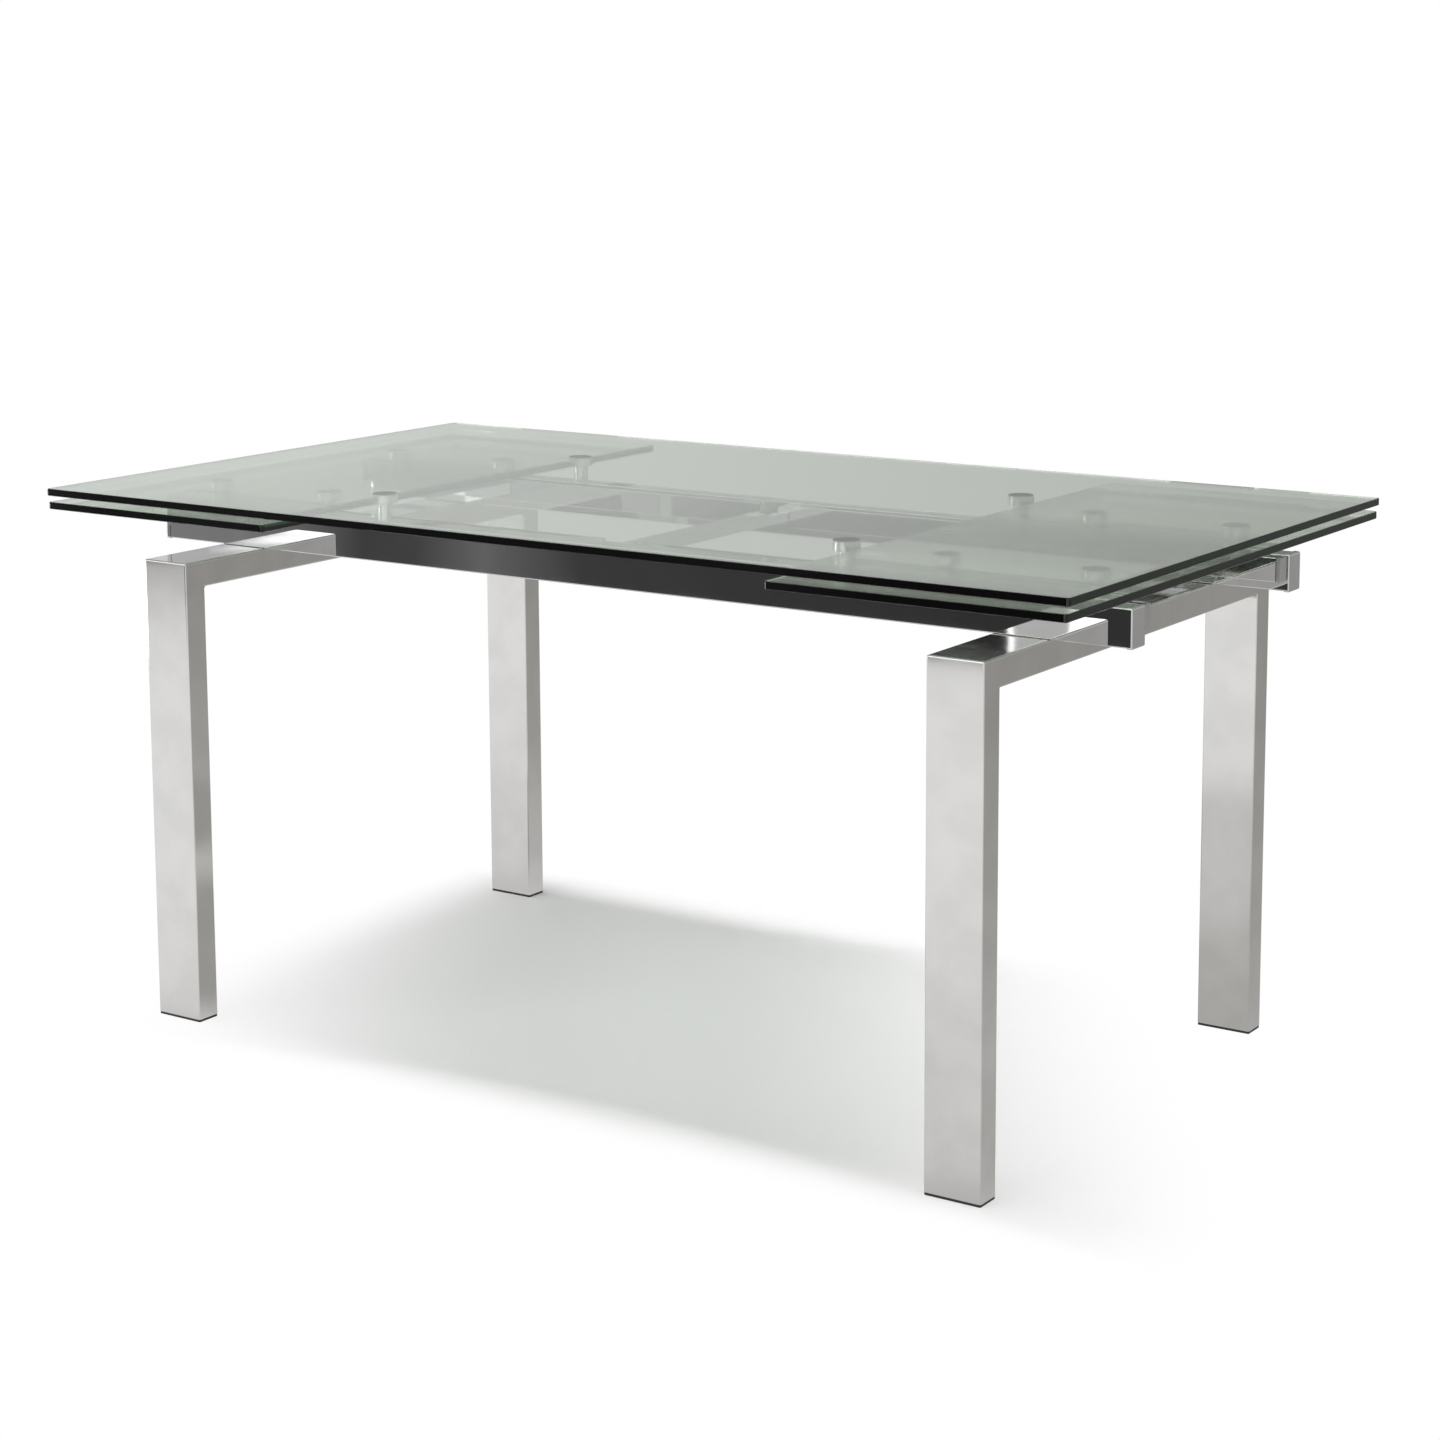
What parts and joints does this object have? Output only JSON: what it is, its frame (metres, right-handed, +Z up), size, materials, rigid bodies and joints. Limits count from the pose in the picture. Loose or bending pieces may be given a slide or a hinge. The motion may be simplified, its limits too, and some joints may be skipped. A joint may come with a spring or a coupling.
{
  "type": "extendable dining table",
  "caption": "Rectangular glass dining table on steel tube portals, with glass leaves kept under the top that slide out on bars at the ends.",
  "frame": {"origin": "on the floor, under the middle of the table", "axes": "+X along the table to the right leaf, +Y to the back, +Z up, with both leaves pushed in"},
  "size_m": [1.6, 0.9, 0.75],
  "materials": {
    "clear_glass": "polished",
    "tube_steel": "polished",
    "polished_steel": "mirror",
    "turned_steel": "satin",
    "slide_steel": "drawn",
    "fastener_steel": "zinc",
    "black_plastic": "matt",
    "grey_plastic": "satin",
    "nylon": "waxy",
    "bond_pad": "matt"
  },
  "bodies": {
    "frame": {"centre_cross_bar": "polished_steel", "channel_screws": "fastener_steel", "corner_welds": "tube_steel", "end_beam_left": "tube_steel", "end_beam_right": "tube_steel", "foot_back_left": "black_plastic", "foot_back_right": "black_plastic", "foot_front_left": "black_plastic", "foot_front_right": "black_plastic", "leg_back_left": "tube_steel", "leg_back_right": "tube_steel", "leg_front_left": "tube_steel", "leg_front_right": "tube_steel", "mouth_glides": "nylon", "rail_back": "polished_steel", "rail_bolts": "fastener_steel", "rail_cap_back_left": "polished_steel", "rail_cap_back_right": "polished_steel", "rail_cap_front_left": "polished_steel", "rail_cap_front_right": "polished_steel", "rail_front": "polished_steel", "rail_nuts": "fastener_steel", "slide_channel_back_left": "polished_steel", "slide_channel_back_right": "polished_steel", "slide_channel_front_left": "polished_steel", "slide_channel_front_right": "polished_steel", "stop_screws": "fastener_steel", "top_disc_pads": "bond_pad", "top_discs": "turned_steel", "top_glass": "clear_glass", "top_post_back_left": "turned_steel", "top_post_back_right": "turned_steel", "top_post_front_left": "turned_steel", "top_post_front_right": "turned_steel", "top_post_screws": "fastener_steel"},
    "left_leaf": {"left_boss_inner_back": "turned_steel", "left_boss_inner_front": "turned_steel", "left_boss_outer_back": "turned_steel", "left_boss_outer_front": "turned_steel", "left_boss_screws": "fastener_steel", "left_leaf_glass": "clear_glass", "left_leaf_pads": "bond_pad", "left_slide_bar_back": "slide_steel", "left_slide_bar_front": "slide_steel", "left_slide_cap_back": "grey_plastic", "left_slide_cap_front": "grey_plastic", "left_slide_shoes": "nylon"},
    "right_leaf": {"right_boss_inner_back": "turned_steel", "right_boss_inner_front": "turned_steel", "right_boss_outer_back": "turned_steel", "right_boss_outer_front": "turned_steel", "right_boss_screws": "fastener_steel", "right_leaf_glass": "clear_glass", "right_leaf_pads": "bond_pad", "right_slide_bar_back": "slide_steel", "right_slide_bar_front": "slide_steel", "right_slide_cap_back": "grey_plastic", "right_slide_cap_front": "grey_plastic", "right_slide_shoes": "nylon"}
  },
  "joints": [
    {"name": "left_leaf_slide", "type": "slide", "parent": "frame", "child": "left_leaf", "axis": [-1, 0, 0], "range_m": [0, 0.4]},
    {"name": "right_leaf_slide", "type": "slide", "parent": "frame", "child": "right_leaf", "axis": [1, 0, 0], "range_m": [0, 0.4]}
  ]
}
